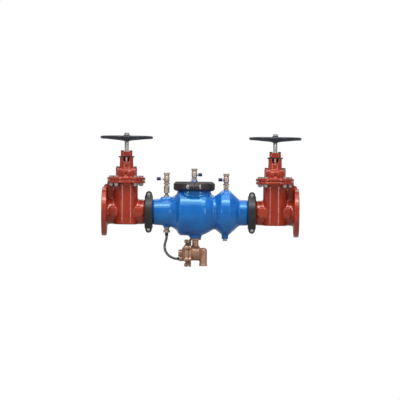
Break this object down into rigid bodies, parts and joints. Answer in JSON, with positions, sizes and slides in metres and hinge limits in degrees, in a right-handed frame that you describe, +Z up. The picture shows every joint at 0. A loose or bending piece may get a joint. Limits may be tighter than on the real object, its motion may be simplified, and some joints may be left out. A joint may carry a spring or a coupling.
{
  "type": "backflow preventer",
  "caption": "Flanged reduced-pressure backflow preventer: gate valves with handwheels either side of a double check body with test cocks and a bottom relief valve.",
  "frame": {"origin": "centre of the inlet flange face, on the pipe axis", "axes": "+X along the flow from inlet to outlet, +Z up towards the handwheels, +Y away from the viewer of the front"},
  "size_m": [0.956, 0.25, 0.635],
  "materials": {
    "red_paint": "glossy fusion-bonded epoxy",
    "blue_paint": "glossy fusion-bonded epoxy",
    "black_paint": "satin black enamel",
    "clamp_paint": "satin brown-black enamel",
    "wheel_paint": "satin black enamel",
    "seal_rubber": "matte",
    "stainless": "turned",
    "zinc_bolts": "zinc plated",
    "black_bolts": "black oxide",
    "bronze": "sand-cast bronze",
    "cock_bronze": "machined, dull",
    "handle_plastic": "moulded",
    "poppet_plastic": "moulded",
    "braid": "braided sleeve",
    "hose_ends": "satin black"
  },
  "bodies": {
    "housing": {"inlet_valve_body": "red_paint", "inlet_bonnet": "red_paint", "inlet_bonnet_gasket": "seal_rubber", "inlet_gland_plate": "black_paint", "inlet_gland": "red_paint", "outlet_valve_body": "red_paint", "outlet_bonnet": "red_paint", "outlet_bonnet_gasket": "seal_rubber", "outlet_gland_plate": "black_paint", "outlet_gland": "red_paint", "bonnet_bolts": "zinc_bolts", "gland_bolts": "black_bolts", "inlet_coupling_front": "black_paint", "inlet_coupling_back": "black_paint", "inlet_coupling_gasket": "seal_rubber", "outlet_coupling_front": "black_paint", "outlet_coupling_back": "black_paint", "outlet_coupling_gasket": "seal_rubber", "coupling_bolts": "zinc_bolts", "main_body": "blue_paint", "access_cover": "blue_paint", "cover_clamp_left": "clamp_paint", "cover_clamp_right": "clamp_paint", "cover_gasket": "seal_rubber", "cover_clamp_bolts": "zinc_bolts", "check_1_seat": "bronze", "check_1_spring": "stainless", "check_2_seat": "bronze", "check_2_spring": "stainless", "cock_1_body": "cock_bronze", "cock_2_body": "cock_bronze", "cock_3_body": "cock_bronze", "cock_fittings": "cock_bronze", "relief_body": "bronze", "relief_cover": "bronze", "relief_diaphragm": "seal_rubber", "relief_spring": "stainless", "relief_seat": "stainless", "relief_bolts": "zinc_bolts", "sensing_hose": "braid", "hose_fittings": "hose_ends"},
    "inlet_drive": {"inlet_stem": "stainless", "inlet_handwheel": "wheel_paint", "inlet_wheel_nut": "zinc_bolts"},
    "inlet_gate": {"inlet_wedge": "seal_rubber", "inlet_stem_nut": "bronze"},
    "outlet_drive": {"outlet_stem": "stainless", "outlet_handwheel": "wheel_paint", "outlet_wheel_nut": "zinc_bolts"},
    "outlet_gate": {"outlet_wedge": "seal_rubber", "outlet_stem_nut": "bronze"},
    "check_1": {"check_1_poppet": "poppet_plastic"},
    "check_2": {"check_2_poppet": "poppet_plastic"},
    "cock_1": {"cock_1_ball": "stainless", "cock_1_handle": "handle_plastic"},
    "cock_2": {"cock_2_ball": "stainless", "cock_2_handle": "handle_plastic"},
    "cock_3": {"cock_3_ball": "stainless", "cock_3_handle": "handle_plastic"},
    "relief": {"relief_stem": "stainless"}
  },
  "joints": [
    {"name": "inlet_wheel_turn", "type": "hinge", "parent": "housing", "child": "inlet_drive", "pos_m": [0.1145, 0, 0.353], "axis": [0, 0, 1], "range_deg": [-4950, 0]},
    {"name": "inlet_gate_slide", "type": "slide", "parent": "housing", "child": "inlet_gate", "axis": [0, 0, 1], "range_m": [-0.1101, 0]},
    {"name": "outlet_wheel_turn", "type": "hinge", "parent": "housing", "child": "outlet_drive", "pos_m": [0.8205, 0, 0.353], "axis": [0, 0, 1], "range_deg": [-4950, 0]},
    {"name": "outlet_gate_slide", "type": "slide", "parent": "housing", "child": "outlet_gate", "axis": [0, 0, 1], "range_m": [-0.1101, 0]},
    {"name": "check_1_slide", "type": "slide", "parent": "housing", "child": "check_1", "axis": [1, 0, 0], "range_m": [0, 0.022], "stiffness_N_per_m": 4000, "springref_m": -0.06, "deforming": ["check_1_spring"]},
    {"name": "check_2_slide", "type": "slide", "parent": "housing", "child": "check_2", "axis": [1, 0, 0], "range_m": [0, 0.022], "stiffness_N_per_m": 1500, "springref_m": -0.03, "deforming": ["check_2_spring"]},
    {"name": "relief_slide", "type": "slide", "parent": "housing", "child": "relief", "axis": [1, 0, 0], "range_m": [0, 0.006], "stiffness_N_per_m": 2500, "springref_m": -0.02, "deforming": ["relief_spring", "relief_diaphragm"]},
    {"name": "cock_1_turn", "type": "hinge", "parent": "housing", "child": "cock_1", "pos_m": [0.3065, 0, 0.158], "axis": [1, 0, 0], "range_deg": [0, 90]},
    {"name": "cock_2_turn", "type": "hinge", "parent": "housing", "child": "cock_2", "pos_m": [0.4375, 0, 0.179], "axis": [1, 0, 0], "range_deg": [0, 90]},
    {"name": "cock_3_turn", "type": "hinge", "parent": "housing", "child": "cock_3", "pos_m": [0.5895, 0, 0.156], "axis": [1, 0, 0], "range_deg": [0, 90]}
  ],
  "couplings": [
    {"joint": "inlet_gate_slide", "follows": "inlet_wheel_turn", "m_per_rad": 0.0012732},
    {"joint": "outlet_gate_slide", "follows": "outlet_wheel_turn", "m_per_rad": 0.0012732}
  ]
}
